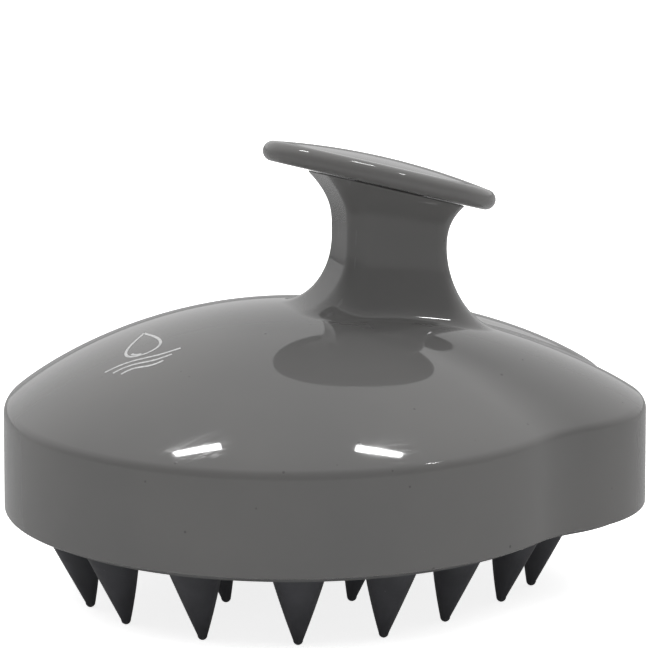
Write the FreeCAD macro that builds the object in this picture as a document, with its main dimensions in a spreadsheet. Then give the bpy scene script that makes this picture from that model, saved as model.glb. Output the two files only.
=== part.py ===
"""Scalp massager brush: a domed shell with a necked palm plate and a pull-out silicone bristle head.

Millimetres, +Z up.  The origin lies on the plane of the bristle tips, under the centre of the
round lobe.  +X runs along the length, towards the narrow end; the shell is mirrored in Y.
"""
import math
import os

import FreeCAD, Part
import Sketcher
from FreeCAD import Placement, Rotation, Vector

SIZES = {
    # plan outline: a round lobe and two small corner lobes, with hollows between each two
    "lobe_radius": 41.5,
    "corner_radius": 20.2,
    "corner_distance": 30.0,
    "corner_offset": 8.4,
    "waist_radius": 21.0,
    "notch_radius": 12.0,
    # shell
    "rim_height": 12.4,
    "skirt_height": 15.0,
    "dome_rise": 14.4,
    "dome_power": 0.9,
    "shoulder_radius": 2.0,
    "shell_wall": 2.2,
    "ledge_width": 1.0,
    "seat_depth": 3.9,
    # neck, an upright rounded rectangle
    "neck_distance": 15.0,
    "neck_length": 15.3,
    "neck_width": 10.6,
    "neck_corner": 2.4,
    "root_height": 20.0,
    "root_rise": 17.0,
    "root_spread": 12.0,
    "hollow_depth": 16.0,
    # palm plate, leaning towards the narrow end
    "plate_distance": 13.5,
    "plate_height": 60.2,
    "plate_length": 35.6,
    "plate_width": 25.0,
    "plate_thickness": 3.0,
    "plate_round": 1.45,
    "plate_tilt": 18.0,
    "plate_turn": 24.0,
    "crown_height": 1.2,
    "crown_border": 1.7,
    "collar_depth": 6.5,
    "collar_spread": 3.3,
    "plug_length": 9.0,
    "plug_width": 6.4,
    "plug_depth": 3.4,
    "plug_corner": 1.0,
    "web_thickness": 3.0,
    "head_way_depth": 8.0,
    "way_overrun": 1.0,
    # bristle head: clamp ring, silicone pad and carrier, stacked from the rim upwards
    "fit_gap": 0.2,
    "pad_ease": 0.1,
    "ring_drop": 0.9,
    "ring_height": 1.5,
    "ring_width": 0.8,
    "flange_thickness": 1.2,
    "pad_thickness": 1.8,
    "carrier_thickness": 2.05,
    "rib_height": 3.0,
    "rib_width": 1.6,
    "rib_corner": 0.4,
    "rib_inset": 9.0,
    "long_rib": 76.0,
    "long_rib_shift": 2.0,
    "cross_rib": 62.0,
    "boss_radius": 2.2,
    "boss_inset": 5.2,
    # fasteners
    "palm_screw_radius": 1.5,
    "palm_screw_length": 7.4,
    "palm_head_radius": 2.8,
    "palm_head_height": 2.0,
    "clamp_screw_radius": 1.0,
    "clamp_screw_length": 4.4,
    "clamp_head_radius": 1.7,
    "clamp_head_height": 1.1,
    "thread_ease": 0.02,
    "pilot_floor": 0.3,
    # bristles: rows on an egg-shaped line, hooked inwards
    "row_back": 33.5,
    "row_front": 40.5,
    "row_half_width": 33.4,
    "row_taper": 10.0,
    "bristle_root_radius": 4.3,
    "bristle_tip_radius": 0.8,
    "bristle_lean": 2.8,
    "bristle_sink": 0.5,
}
OUTER_BRISTLES = 16
INNER_BRISTLES = 8
INNER_ROW_SCALE = 0.45
ROW_DIRECTIONS = (0, 20, 46, 72, 95, 113, 134, 152, 180)
CROWN_STEPS = (1.0, 0.85, 0.65, 0.4, 0.2)
INNER_BRISTLE_SCALE = 0.92
HORN_PARTS = (0.0, 0.3, 0.6, 0.85, 1.0)
HORN_POWER = 1.15
LEAN_POWER = 1.6
ROOT_PARTS = (0.1, 0.25, 0.4, 0.55, 0.7, 0.85, 1.0)
COLLAR_PARTS = (0.0, 0.35, 0.65, 0.85, 1.0)
DOME_STEPS = (0.96, 0.88, 0.76, 0.62, 0.46, 0.30, 0.16, 0.06)
CLAMP_GAPS = (1, 3, 5, 7, 8, 10, 12, 14)
EDGE_TOLERANCE = 0.01
RECESS_LENGTH = 1.3
RECESS_WIDTH = 0.3
RECESS_DEPTH = 0.5

doc = FreeCAD.newDocument("scalp_massager")


def make_sheet():
    """Put every driving dimension into a spreadsheet, one alias to a row."""
    sheet = doc.addObject("Spreadsheet::Sheet", "sizes")
    for row, (alias, value) in enumerate(SIZES.items(), start=1):
        sheet.set(f"A{row}", alias)
        sheet.set(f"B{row}", str(value))
        sheet.setAlias(f"B{row}", alias)
    doc.recompute()
    return sheet


sheet = make_sheet()


def size(alias):
    """The value of one driving dimension."""
    return float(sheet.get(alias))


def evaluate(formula):
    """The value of a formula written in sheet aliases, such as 'sizes.rim_height + 2'."""
    return float(sheet.evalExpression(formula))


def new_body(name):
    body = doc.addObject("PartDesign::Body", name)
    body.Label = name
    return body


def new_sketch(body, name, height, shift_x="0", shift_y="0"):
    """A sketch on the body's XY plane, lifted to a height and moved along X and Y."""
    sketch = body.newObject("Sketcher::SketchObject", name)
    plane = next(item for item in body.Origin.OriginFeatures if item.Role == "XY_Plane")
    sketch.AttachmentSupport = [(plane, "")]
    sketch.MapMode = "FlatFace"
    sketch.setExpression("AttachmentOffset.Base.x", shift_x)
    sketch.setExpression("AttachmentOffset.Base.y", shift_y)
    sketch.setExpression("AttachmentOffset.Base.z", height)
    return sketch


def new_leaning_sketch(body, name, point):
    """A sketch parallel to the palm plate, through a point given as three formulas."""
    sketch = new_sketch(body, name, "0")
    sketch.AttachmentOffset = Placement(Vector(), plate_rotation())
    for axis, formula in zip("xyz", point):
        sketch.setExpression(f"AttachmentOffset.Base.{axis}", formula)
    return sketch


def leaning(tilt):
    """The rotation that leans +Z by a tilt, in the direction in which the palm plate leans."""
    turn = math.radians(size("plate_turn"))
    return Rotation(Vector(-math.sin(turn), math.cos(turn), 0), tilt)


def plate_rotation():
    return leaning(size("plate_tilt"))


def plate_point(offset):
    """Formulas for the point at a distance along the plate's normal from its underside's centre."""
    along = f"({offset} - sizes.plate_thickness / 2)"
    lean = f"{along} * sin(sizes.plate_tilt * 1 deg)"
    return (
        f"sizes.plate_distance + {lean} * cos(sizes.plate_turn * 1 deg)",
        f"{lean} * sin(sizes.plate_turn * 1 deg)",
        f"sizes.plate_height + {along} * cos(sizes.plate_tilt * 1 deg)",
    )


def neck_top_height():
    """Formula for the height at which the neck's upright axis meets the palm plate's underside."""
    foot_x, foot_y, foot_z = plate_point("0")
    along_x = f"(sizes.neck_distance - ({foot_x})) * cos(sizes.plate_turn * 1 deg)"
    along_y = f"({foot_y}) * sin(sizes.plate_turn * 1 deg)"
    return f"{foot_z} - ({along_x} - {along_y}) * tan(sizes.plate_tilt * 1 deg)"


def plug_point(offset):
    """Formulas for the point at a distance along the plug's axis, from the plate's underside.

    The axis is square to the plate and meets the neck's upright axis on the underside.
    """
    lean = f"({offset}) * sin(sizes.plate_tilt * 1 deg)"
    return (
        f"sizes.neck_distance + {lean} * cos(sizes.plate_turn * 1 deg)",
        f"{lean} * sin(sizes.plate_turn * 1 deg)",
        f"{neck_top_height()} + ({offset}) * cos(sizes.plate_tilt * 1 deg)",
    )


def arc(centre_x, centre_y, radius, start, end):
    circle = Part.Circle(Vector(centre_x, centre_y, 0), Vector(0, 0, 1), radius)
    return Part.ArcOfCircle(circle, start, end)


def name_and_bind(sketch, index, name, formula):
    sketch.renameConstraint(index, name)
    sketch.setExpression(f"Constraints.{name}", formula)


def outline_formulas(scale, inset):
    """The outline's six dimensions, drawn in by an inset and then scaled about the lobe's centre."""
    return {
        "lobe": f"(sizes.lobe_radius - ({inset})) * {scale}",
        "corner": f"(sizes.corner_radius - ({inset})) * {scale}",
        "distance": f"sizes.corner_distance * {scale}",
        "offset": f"sizes.corner_offset * {scale}",
        "waist": f"(sizes.waist_radius + ({inset})) * {scale}",
        "notch": f"(sizes.notch_radius + ({inset})) * {scale}",
    }


def draw_outline(sketch, scale=1, inset="0"):
    """Draw the plan outline: lobe, waist, corner, notch, corner and waist arcs, all tangent."""
    formulas = outline_formulas(scale, inset)
    value = {key: evaluate(formula) for key, formula in formulas.items()}
    lobe, corner, waist, notch = value["lobe"], value["corner"], value["waist"], value["notch"]
    distance, offset = value["distance"], value["offset"]
    centres = math.hypot(distance, offset)
    reach = lobe + waist
    opening = math.acos((reach**2 + centres**2 - (corner + waist)**2) / (2 * reach * centres))
    join = math.atan2(offset, distance) + opening
    waist_x = reach * math.cos(join)
    waist_y = reach * math.sin(join)
    turn = math.atan2(waist_y - offset, waist_x - distance)
    dip = math.asin(offset / (corner + notch))
    notch_x = distance + (corner + notch) * math.cos(dip)
    half = math.pi
    pieces = [
        arc(0, 0, lobe, join, 2 * half - join),
        arc(waist_x, waist_y, waist, half + join, half + turn),
        arc(distance, offset, corner, -dip, turn),
        arc(notch_x, 0, notch, half - dip, half + dip),
        arc(distance, -offset, corner, -turn, dip),
        arc(waist_x, -waist_y, waist, half - turn, half - join),
    ]
    first = sketch.GeometryCount
    for piece in pieces:
        sketch.addGeometry(piece, False)
    big, waist_top, corner_top, end, corner_low, waist_low = range(first, first + 6)
    joins = (
        (big, 1, waist_top, 1), (waist_top, 2, corner_top, 2), (corner_top, 1, end, 1),
        (end, 2, corner_low, 2), (corner_low, 1, waist_low, 1), (waist_low, 2, big, 2),
    )
    for one, one_end, other, other_end in joins:
        sketch.addConstraint(Sketcher.Constraint("Tangent", one, one_end, other, other_end))
    sketch.addConstraint(Sketcher.Constraint("Coincident", big, 3, -1, 1))
    sketch.addConstraint(Sketcher.Constraint("Symmetric", corner_top, 3, corner_low, 3, -1))
    sketch.addConstraint(Sketcher.Constraint("Equal", corner_top, corner_low))
    sketch.addConstraint(Sketcher.Constraint("Equal", waist_top, waist_low))
    driven = (
        ("lobe", Sketcher.Constraint("Radius", big, lobe)),
        ("corner", Sketcher.Constraint("Radius", corner_top, corner)),
        ("waist", Sketcher.Constraint("Radius", waist_top, waist)),
        ("notch", Sketcher.Constraint("Radius", end, notch)),
        ("distance", Sketcher.Constraint("DistanceX", -1, 1, corner_top, 3, distance)),
        ("offset", Sketcher.Constraint("DistanceY", -1, 1, corner_top, 3, offset)),
    )
    for name, constraint in driven:
        index = sketch.addConstraint(constraint)
        name_and_bind(sketch, index, f"{name}_{first}", formulas[name])


def draw_rounded_rectangle(sketch, length_formula, width_formula, corner_formula):
    """Draw a rounded rectangle about the sketch's origin, from its right side anticlockwise."""
    length = evaluate(length_formula)
    width = evaluate(width_formula)
    corner = evaluate(corner_formula)
    x, y = length / 2, width / 2
    inner_x, inner_y = x - corner, y - corner
    quarter = math.pi / 2
    pieces = [
        Part.LineSegment(Vector(x, -inner_y, 0), Vector(x, inner_y, 0)),
        arc(inner_x, inner_y, corner, 0, quarter),
        Part.LineSegment(Vector(inner_x, y, 0), Vector(-inner_x, y, 0)),
        arc(-inner_x, inner_y, corner, quarter, 2 * quarter),
        Part.LineSegment(Vector(-x, inner_y, 0), Vector(-x, -inner_y, 0)),
        arc(-inner_x, -inner_y, corner, 2 * quarter, 3 * quarter),
        Part.LineSegment(Vector(-inner_x, -y, 0), Vector(inner_x, -y, 0)),
        arc(inner_x, -inner_y, corner, 3 * quarter, 4 * quarter),
    ]
    for piece in pieces:
        sketch.addGeometry(piece, False)
    for index in range(8):
        sketch.addConstraint(Sketcher.Constraint("Tangent", index, 2, (index + 1) % 8, 1))
    for index in (3, 5, 7):
        sketch.addConstraint(Sketcher.Constraint("Equal", 1, index))
    sketch.addConstraint(Sketcher.Constraint("Vertical", 0))
    sketch.addConstraint(Sketcher.Constraint("Horizontal", 2))
    sketch.addConstraint(Sketcher.Constraint("Symmetric", 1, 3, 5, 3, -1, 1))
    driven = (
        ("length", Sketcher.Constraint("DistanceX", 4, 1, 0, 2, length), length_formula),
        ("width", Sketcher.Constraint("DistanceY", 6, 1, 2, 2, width), width_formula),
        ("corner", Sketcher.Constraint("Radius", 1, corner), corner_formula),
    )
    for name, constraint, formula in driven:
        index = sketch.addConstraint(constraint)
        name_and_bind(sketch, index, name, formula)


def draw_circle(sketch, radius_formula, x_formula="0", y_formula="0"):
    radius = evaluate(radius_formula)
    centre = Vector(evaluate(x_formula), evaluate(y_formula), 0)
    index = sketch.addGeometry(Part.Circle(centre, Vector(0, 0, 1), radius), False)
    count = sketch.addConstraint(Sketcher.Constraint("Radius", index, radius))
    name_and_bind(sketch, count, f"radius_{index}", radius_formula)
    if x_formula == "0" and y_formula == "0":
        sketch.addConstraint(Sketcher.Constraint("Coincident", index, 3, -1, 1))
    else:
        sketch.addConstraint(Sketcher.Constraint("Block", index))


def pad(body, sketch, name, length, reverse=False):
    feature = body.newObject("PartDesign::Pad", name)
    feature.Profile = sketch
    feature.setExpression("Length", length)
    feature.Reversed = reverse
    doc.recompute()
    return feature


def pocket(body, sketch, name, length, upwards=True):
    """Cut a sketch away from the body; the default cuts towards the sketch's own +Z."""
    feature = body.newObject("PartDesign::Pocket", name)
    feature.Profile = sketch
    feature.setExpression("Length", length)
    feature.Reversed = upwards
    doc.recompute()
    return feature


def loft(body, kind, name, sketches):
    feature = body.newObject(f"PartDesign::{kind}", name)
    feature.Profile = sketches[0]
    feature.Sections = sketches[1:]
    doc.recompute()
    return feature


def lies_at(point, height):
    return abs(point.z - height) < EDGE_TOLERANCE


def fillet(body, name, radius, is_wanted):
    """Round the edges of the body's tip whose midpoints pass the test."""
    base = body.Tip
    names = []
    for number, edge in enumerate(base.Shape.Edges, start=1):
        middle = edge.valueAt((edge.FirstParameter + edge.LastParameter) / 2)
        if is_wanted(edge, middle):
            names.append(f"Edge{number}")
    feature = body.newObject("PartDesign::Fillet", name)
    feature.Base = (base, names)
    feature.setExpression("Radius", radius)
    doc.recompute()
    return feature


def dome_sketches(body, prefix, inset, drop):
    """Sections of the dome: the outline scaled about the lobe's centre, rising as it shrinks."""
    sections = []
    for number, scale in enumerate(DOME_STEPS, start=1):
        rise = f"sizes.dome_rise * (1 - {scale} ^ 2) ^ sizes.dome_power"
        height = f"sizes.rim_height + sizes.skirt_height + {rise} - ({drop})"
        sketch = new_sketch(body, f"{prefix}_{number}", height)
        draw_outline(sketch, scale, inset)
        sections.append(sketch)
    return sections


def neck_section(body, number, height, tilt, grown, length):
    """One rounded-rectangle section on the neck's upright axis, leaning and grown on all sides."""
    sketch = new_sketch(body, f"neck_{number}", height, "sizes.neck_distance")
    sketch.AttachmentOffset = Placement(Vector(), leaning(tilt))
    draw_rounded_rectangle(
        sketch,
        f"{length} + 2 * {grown}",
        f"sizes.neck_width + 2 * {grown}",
        f"sizes.neck_corner + {grown}",
    )
    return sketch


def neck_sketches(body):
    """Sections of the neck: a flare rising out of the dome, then a leaning collar under the plate."""
    sections = []
    for part in ROOT_PARTS:
        grown = f"sizes.root_spread * {round((1 - part) ** 2, 4)}"
        height = f"sizes.rim_height + sizes.root_height + sizes.root_rise * {part}"
        sections.append((height, 0, grown, "sizes.neck_length"))
    length = "sizes.neck_length / cos(sizes.plate_tilt * 1 deg)"
    for part in COLLAR_PARTS:
        grown = f"sizes.collar_spread * {round(part**3, 4)}"
        height = f"{neck_top_height()} - sizes.collar_depth * {round(1 - part, 2)}"
        sections.append((height, size("plate_tilt"), grown, length))
    return [neck_section(body, number, *section) for number, section in enumerate(sections, start=1)]


def add_shell_outside(body):
    skirt_plan = new_sketch(body, "skirt_plan", "sizes.rim_height")
    draw_outline(skirt_plan)
    pad(body, skirt_plan, "skirt", "sizes.skirt_height")
    dome_foot = new_sketch(body, "dome_foot", "sizes.rim_height + sizes.skirt_height")
    draw_outline(dome_foot)
    loft(body, "AdditiveLoft", "dome", [dome_foot] + dome_sketches(body, "dome", "0", "0"))
    shoulder = size("rim_height") + size("skirt_height")
    fillet(body, "shoulder", "sizes.shoulder_radius", lambda edge, middle: lies_at(middle, shoulder))


def add_neck(body):
    loft(body, "AdditiveLoft", "neck", neck_sketches(body))


def add_shell_cavity(body):
    seat_plan = new_sketch(body, "seat_plan", "sizes.rim_height")
    draw_outline(seat_plan, 1, "sizes.shell_wall")
    pocket(body, seat_plan, "head_seat", "sizes.seat_depth")
    inner = "sizes.shell_wall + sizes.ledge_width"
    cavity_plan = new_sketch(body, "cavity_plan", "sizes.rim_height")
    draw_outline(cavity_plan, 1, inner)
    pocket(body, cavity_plan, "skirt_cavity", "sizes.skirt_height - sizes.shell_wall")
    cavity_foot = new_sketch(body, "cavity_foot", "sizes.rim_height + sizes.skirt_height - sizes.shell_wall")
    draw_outline(cavity_foot, 1, inner)
    sections = dome_sketches(body, "cavity", inner, "sizes.shell_wall")
    loft(body, "SubtractiveLoft", "dome_cavity", [cavity_foot] + sections)


def add_neck_cavity(body):
    inner_length = "sizes.neck_length - 2 * sizes.shell_wall"
    inner_width = "sizes.neck_width - 2 * sizes.shell_wall"
    hollow_foot = "sizes.rim_height + sizes.root_height"
    hollow = new_sketch(body, "neck_hollow_plan", hollow_foot, "sizes.neck_distance")
    draw_rounded_rectangle(hollow, inner_length, inner_width, "sizes.plug_corner")
    pocket(body, hollow, "neck_hollow", "sizes.hollow_depth")
    socket = new_leaning_sketch(body, "plug_socket_plan", plug_point("0"))
    gap = "2 * sizes.fit_gap"
    socket_corner = "sizes.plug_corner + sizes.fit_gap"
    draw_rounded_rectangle(socket, f"sizes.plug_length + {gap}", f"sizes.plug_width + {gap}", socket_corner)
    pocket(body, socket, "plug_socket", "sizes.plug_depth + sizes.fit_gap", upwards=False)
    web_foot = "0 - sizes.plug_depth - sizes.fit_gap - sizes.web_thickness"
    head_way = new_leaning_sketch(body, "head_way_plan", plug_point(web_foot))
    draw_circle(head_way, "sizes.palm_head_radius + sizes.fit_gap")
    pocket(body, head_way, "head_way", "sizes.head_way_depth", upwards=False)
    shank_way = new_leaning_sketch(body, "shank_way_plan", plug_point(web_foot))
    draw_circle(shank_way, "sizes.palm_screw_radius + sizes.fit_gap")
    pocket(body, shank_way, "shank_way", "sizes.web_thickness + sizes.way_overrun")


def make_body_shell():
    """Glossy one-piece shell: skirt, dome and hollow neck."""
    body = new_body("body_shell")
    add_shell_outside(body)
    add_neck(body)
    add_shell_cavity(body)
    add_neck_cavity(body)
    return body


def draw_oval(sketch, length_formula, width_formula):
    length = evaluate(length_formula)
    width = evaluate(width_formula)
    oval = sketch.addGeometry(Part.Ellipse(Vector(), length / 2, width / 2), False)
    sketch.exposeInternalGeometry(oval)
    sketch.addConstraint(Sketcher.Constraint("Coincident", oval, 3, -1, 1))
    sketch.addConstraint(Sketcher.Constraint("Horizontal", oval + 1))
    index = sketch.addConstraint(Sketcher.Constraint("Distance", oval + 1, length))
    name_and_bind(sketch, index, "length", length_formula)
    index = sketch.addConstraint(Sketcher.Constraint("Distance", oval + 2, width))
    name_and_bind(sketch, index, "width", width_formula)


def place_leaning(item, point):
    """Lean a sub-part that is made about its own +Z axis with the palm plate, and move it to a point."""
    item.Placement = Placement(Vector(), plate_rotation())
    for axis, formula in zip("xyz", point):
        item.setExpression(f"Placement.Base.{axis}", formula)


def plug_shift(axis):
    """How far the plug's axis stands from the plate's own, along one of the plate's own axes."""
    plate = Vector(*(evaluate(formula) for formula in plate_point("0")))
    plug = Vector(*(evaluate(formula) for formula in plug_point("0")))
    return repr(getattr(plate_rotation().inverted().multVec(plug - plate), axis))


def crown_sketches(body):
    """Shrinking ovals that raise the top of the palm plate into a shallow crown."""
    sections = []
    for number, scale in enumerate(CROWN_STEPS, start=1):
        height = f"sizes.plate_thickness + sizes.crown_height * {round(1 - scale**2, 4)}"
        sketch = new_sketch(body, f"crown_{number}", height)
        draw_oval(
            sketch,
            f"(sizes.plate_length - 2 * sizes.crown_border) * {scale}",
            f"(sizes.plate_width - 2 * sizes.crown_border) * {scale}",
        )
        sections.append(sketch)
    return sections


def make_handle_plate():
    """Oval palm plate: a fully rounded rim, a low crown, and the plug that keys it into the neck."""
    body = new_body("handle_plate")
    oval = new_sketch(body, "palm_plan", "0")
    draw_oval(oval, "sizes.plate_length", "sizes.plate_width")
    pad(body, oval, "palm", "sizes.plate_thickness")
    fillet(body, "palm_rim", "sizes.plate_round", lambda edge, middle: True)
    loft(body, "AdditiveLoft", "crown", crown_sketches(body))
    plug_plan = new_sketch(body, "plug_plan", "0", plug_shift("x"), plug_shift("y"))
    draw_rounded_rectangle(plug_plan, "sizes.plug_length", "sizes.plug_width", "sizes.plug_corner")
    pad(body, plug_plan, "plug", "sizes.plug_depth", reverse=True)
    pilot_plan = new_sketch(body, "pilot_plan", "0 - sizes.plug_depth", plug_shift("x"), plug_shift("y"))
    draw_circle(pilot_plan, "sizes.palm_screw_radius + sizes.thread_ease")
    web_and_gap = "sizes.web_thickness + sizes.fit_gap"
    pocket(body, pilot_plan, "pilot", f"sizes.palm_screw_length - ({web_and_gap}) + sizes.pilot_floor")
    place_leaning(body, plate_point("0"))
    return body


def make_screw(name, kind):
    """A pan-head screw, head below its shank's foot at z = 0, shank along +Z, with a cross recess."""
    shank = doc.addObject("Part::Cylinder", f"{name}_shank")
    shank.setExpression("Radius", f"sizes.{kind}_screw_radius")
    shank.setExpression("Height", f"sizes.{kind}_screw_length")
    head = doc.addObject("Part::Cylinder", f"{name}_head")
    head.setExpression("Radius", f"sizes.{kind}_head_radius")
    head.setExpression("Height", f"sizes.{kind}_head_height")
    head.setExpression("Placement.Base.z", f"0 - sizes.{kind}_head_height")
    solid = doc.addObject("Part::Fuse", f"{name}_solid")
    solid.Base = head
    solid.Tool = shank
    for axis, slot_name in (("Length", "slot_along"), ("Width", "slot_across")):
        slot = doc.addObject("Part::Box", f"{name}_{slot_name}")
        for side, offset in (("Length", "x"), ("Width", "y")):
            part = RECESS_LENGTH if side == axis else RECESS_WIDTH
            slot.setExpression(side, f"sizes.{kind}_head_radius * {part}")
            slot.setExpression(f"Placement.Base.{offset}", f"0 - sizes.{kind}_head_radius * {part / 2}")
        slot.setExpression("Height", f"sizes.{kind}_head_height * {RECESS_DEPTH}")
        slot.setExpression("Placement.Base.z", f"0 - sizes.{kind}_head_height")
        cut = doc.addObject("Part::Cut", f"{name}_{slot_name}_cut")
        cut.Base = solid
        cut.Tool = slot
        solid = cut
    doc.recompute()
    return solid


def make_palm_screw():
    """Self-tapping screw, driven up through the neck's web into the palm plate's plug."""
    screw = make_screw("palm", "palm")
    screw.Label = "palm_screw"
    place_leaning(screw, plug_point("0 - sizes.plug_depth - sizes.fit_gap - sizes.web_thickness"))
    return screw


def row_angle(step):
    """Direction of a place on the outer row, between the listed ones; the two sides are mirrored."""
    turn = step % OUTER_BRISTLES
    side = min(turn, OUTER_BRISTLES - turn)
    before = math.floor(side)
    after = math.ceil(side)
    degrees = ROW_DIRECTIONS[before] + (ROW_DIRECTIONS[after] - ROW_DIRECTIONS[before]) * (side - before)
    return math.pi + math.radians(degrees if side == turn else -degrees)


def row_point(step, scale=1.0):
    """A point on a bristle row, counted in outer-row steps from the middle of the round lobe's edge."""
    angle = row_angle(step)
    front = max(math.cos(angle), 0.0)
    reach = size("row_front") if front > 0 else size("row_back")
    half_width = size("row_half_width") - size("row_taper") * front
    return Vector(scale * reach * math.cos(angle), scale * half_width * math.sin(angle), 0)


def outline_face(inset):
    """The plan outline, drawn in by an inset, as a flat face at z = 0."""
    body = doc.addObject("Sketcher::SketchObject", "measure_plan")
    draw_outline(body, 1, inset)
    doc.recompute()
    face = Part.Face(body.Shape.Wires[0])
    doc.removeObject(body.Name)
    return face


def boss_points():
    """Centres of the clamp bosses, just inside the ring and in the gaps between outer bristles."""
    face = outline_face("sizes.boss_inset")
    points = []
    for gap in CLAMP_GAPS:
        direction = row_point(gap + 0.5).normalize()
        ray = Part.makeLine(Vector(), direction * 2 * size("lobe_radius"))
        points.append(direction * ray.common(face).Length)
    return points


def draw_circles(sketch, radius_formula, points):
    for point in points:
        draw_circle(sketch, radius_formula, repr(point.x), repr(point.y))


def make_clamp_ring(bosses):
    """Ring that holds the pad's flange against the carrier, with bosses for the clamp screws."""
    body = new_body("clamp_ring")
    ring_plan = new_sketch(body, "ring_plan", "sizes.rim_height - sizes.ring_drop")
    draw_outline(ring_plan, 1, "sizes.shell_wall + sizes.fit_gap")
    draw_outline(ring_plan, 1, "sizes.shell_wall + sizes.fit_gap + sizes.ring_width")
    pad(body, ring_plan, "ring", "sizes.ring_height")
    boss_plan = new_sketch(body, "boss_plan", "sizes.rim_height - sizes.ring_drop")
    draw_circles(boss_plan, "sizes.boss_radius", bosses)
    pad(body, boss_plan, "bosses", "sizes.ring_height + sizes.flange_thickness")
    pilot_plan = new_sketch(body, "boss_pilot_plan", "sizes.rim_height - sizes.ring_drop + sizes.pilot_floor")
    draw_circles(pilot_plan, "sizes.clamp_screw_radius + sizes.thread_ease", bosses)
    pocket(body, pilot_plan, "boss_pilots", "sizes.ring_height + sizes.flange_thickness")
    return body


def make_carrier_plate(bosses):
    """Stiff plate behind the pad, ribbed on top; it stops against the shell's ledge."""
    body = new_body("carrier_plate")
    foot = "sizes.rim_height + sizes.pad_thickness"
    plate_plan = new_sketch(body, "carrier_plan", foot)
    draw_outline(plate_plan, 1, "sizes.shell_wall + sizes.fit_gap")
    pad(body, plate_plan, "plate", "sizes.carrier_thickness")
    top = f"{foot} + sizes.carrier_thickness"
    rib_plan = new_sketch(body, "rib_plan", top)
    draw_outline(rib_plan, 1, "sizes.rib_inset")
    draw_outline(rib_plan, 1, "sizes.rib_inset + sizes.rib_width")
    pad(body, rib_plan, "ring_rib", "sizes.rib_height")
    straight_ribs = (
        ("long_rib", "sizes.long_rib", "sizes.rib_width", "sizes.long_rib_shift"),
        ("cross_rib", "sizes.rib_width", "sizes.cross_rib", "0"),
    )
    for name, length, width, shift in straight_ribs:
        plan = new_sketch(body, f"{name}_plan", top, shift)
        draw_rounded_rectangle(plan, length, width, "sizes.rib_corner")
        pad(body, plan, name, "sizes.rib_height")
    hole_plan = new_sketch(body, "screw_hole_plan", foot)
    draw_circles(hole_plan, "sizes.clamp_screw_radius + sizes.fit_gap", bosses)
    pocket(body, hole_plan, "screw_holes", "sizes.carrier_thickness")
    return body


def make_clamp_screws(bosses):
    """Small self-tapping screws, driven down through the carrier into the ring's bosses."""
    pattern = make_screw("clamp", "clamp")
    seat = size("rim_height") + size("pad_thickness") + size("carrier_thickness")
    upside_down = Rotation(Vector(1, 0, 0), 180)
    screws = []
    for boss in bosses:
        screw = pattern.Shape.copy()
        screw.Placement = Placement(boss + Vector(0, 0, seat), upside_down)
        screws.append(screw)
    group = doc.addObject("Part::Feature", "clamp_screws")
    group.Label = "clamp_screws"
    group.Shape = Part.makeCompound(screws)
    return group


def bristle(root, scale):
    """One hooked bristle: a tapering horn from the pad's face to a blunt tip, leaning inwards."""
    top = size("rim_height") + size("bristle_sink")
    tip_radius = size("bristle_tip_radius")
    taper = size("bristle_root_radius") * scale - tip_radius
    inwards = Vector(-root.x, -root.y, 0)
    if inwards.Length > 1:
        inwards.normalize()
    wires = []
    for part in HORN_PARTS:
        radius = tip_radius + taper * (1 - part**HORN_POWER)
        centre = root + inwards * (size("bristle_lean") * part**LEAN_POWER)
        centre.z = top * (1 - part)
        wires.append(Part.Wire(Part.makeCircle(radius, centre)))
    return Part.makeLoft(wires, True)


def make_bristle_pad(bosses):
    """Silicone pad in one piece with its bristles; its thinner flange is clamped by the ring."""
    core = new_body("pad_core")
    face_plan = new_sketch(core, "pad_plan", "sizes.rim_height")
    draw_outline(face_plan, 1, "sizes.shell_wall + sizes.fit_gap + sizes.ring_width + sizes.pad_ease")
    pad(core, face_plan, "pad_face", "sizes.pad_thickness")
    flange_plan = new_sketch(core, "flange_plan", "sizes.rim_height - sizes.ring_drop + sizes.ring_height")
    draw_outline(flange_plan, 1, "sizes.shell_wall + 2 * sizes.fit_gap")
    pad(core, flange_plan, "flange", "sizes.flange_thickness")
    relief_plan = new_sketch(core, "relief_plan", "sizes.rim_height")
    draw_circles(relief_plan, "sizes.boss_radius + sizes.pad_ease", bosses)
    pocket(core, relief_plan, "boss_reliefs", "sizes.pad_thickness")
    horns = [bristle(row_point(step), 1.0) for step in range(OUTER_BRISTLES)]
    ratio = OUTER_BRISTLES / INNER_BRISTLES
    for step in range(INNER_BRISTLES):
        horns.append(bristle(row_point((step + 0.5) * ratio, INNER_ROW_SCALE), INNER_BRISTLE_SCALE))
    horns.append(bristle(Vector(), INNER_BRISTLE_SCALE))
    piece = doc.addObject("Part::Feature", "bristle_pad")
    piece.Label = "bristle_pad"
    piece.Shape = core.Shape.multiFuse(horns)
    return piece


def check_document():
    """Stop if any object failed to recompute."""
    doc.recompute()
    failed = [item.Name for item in doc.Objects if {"Invalid", "Error"} & set(item.State)]
    if failed:
        raise RuntimeError(f"failed objects: {failed}")


def write_parts(pieces):
    """Check each sub-part's shape and write it to its own STEP file."""
    for piece in pieces:
        if piece.Shape.isNull() or not piece.Shape.isValid():
            raise RuntimeError(f"bad shape: {piece.Label}")
    os.makedirs("parts", exist_ok=True)
    for piece in pieces:
        piece.Shape.exportStep(f"parts/{piece.Label}.step")


def main():
    bosses = boss_points()
    pieces = [
        make_body_shell(),
        make_handle_plate(),
        make_palm_screw(),
        make_carrier_plate(bosses),
        make_bristle_pad(bosses),
        make_clamp_ring(bosses),
        make_clamp_screws(bosses),
    ]
    check_document()
    write_parts(pieces)


main()
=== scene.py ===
"""Looks of the scalp massager brush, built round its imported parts.

Sizes are in millimetres until a mesh is made, in the CAD frame: +Z up, the origin on the plane of the
bristle tips under the centre of the round lobe, +X towards the narrow end, the shell mirrored in Y.
"""

import math

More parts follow.
